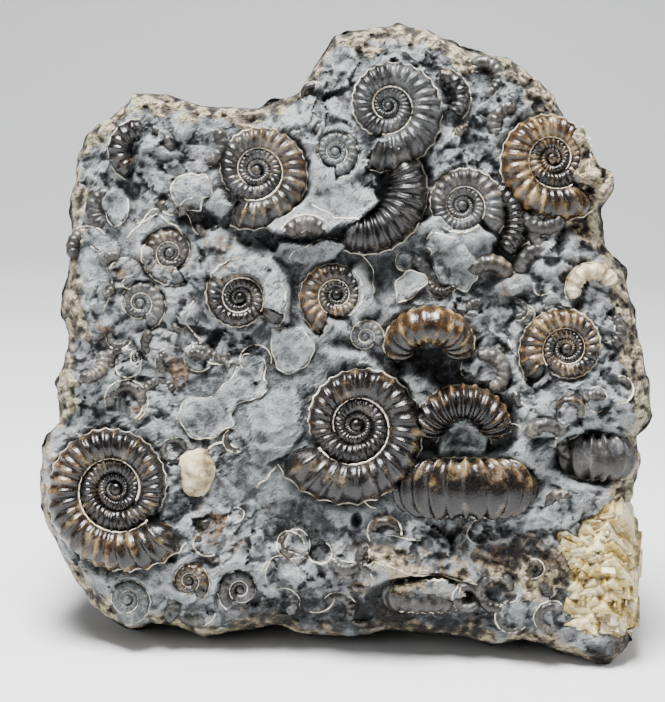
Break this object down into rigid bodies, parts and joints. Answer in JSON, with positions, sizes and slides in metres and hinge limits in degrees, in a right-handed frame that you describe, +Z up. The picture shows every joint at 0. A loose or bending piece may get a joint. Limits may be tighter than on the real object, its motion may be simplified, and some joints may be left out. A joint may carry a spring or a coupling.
{
  "type": "ammonite fossil cluster",
  "caption": "Free-standing block of grey limestone with ribbed ammonites standing out of its front, a weathered cream rim and a corner of honey calcite crystals.",
  "frame": {"origin": "centre of the bounding box, on the surface that the block stands on", "axes": "+Z up, +X to the right across the block as its front is seen, +Y from the front to the back"},
  "size_m": [0.126, 0.0536, 0.1254],
  "materials": {
    "limestone": "worked blue-grey limestone with a cream weathered rim",
    "black_shell": "polished black-brown calcite shell",
    "honey_shell": "polished honey-brown translucent calcite shell",
    "grey_shell": "semi-gloss grey shell",
    "honey_calcite": "rough honey calcite crystals",
    "cream_calcite": "satin cream calcite"
  },
  "bodies": {
    "root": {"matrix": "limestone", "ammonite_top": "black_shell", "ammonite_upper_left": "black_shell", "ammonite_upper_right": "grey_shell", "ammonite_right_shoulder": "honey_shell", "ammonite_small_pale": "grey_shell", "ammonite_middle_brown": "honey_shell", "ammonite_middle_grey": "grey_shell", "ammonite_middle_left": "black_shell", "ammonite_right": "honey_shell", "ammonite_centre": "black_shell", "ammonite_lower_left": "black_shell", "ammonite_low_brown": "honey_shell", "ammonite_low_grey": "grey_shell", "ammonite_left_rings": "grey_shell", "ammonite_left_crystal": "honey_shell", "ammonite_bottom_left": "grey_shell", "whorl_body_chamber": "black_shell", "whorl_beside_upper_right": "black_shell", "whorl_beside_top": "black_shell", "whorl_upper_left": "black_shell", "whorl_cream_right": "cream_calcite", "ammonite_amber": "honey_shell", "ammonite_lower_right": "black_shell", "ammonite_edge_on": "black_shell", "ammonite_edge_grey": "grey_shell", "whorl_under_ledge": "grey_shell", "calcite_crystals": "honey_calcite", "calcite_nodule": "cream_calcite"}
  },
  "joints": []
}
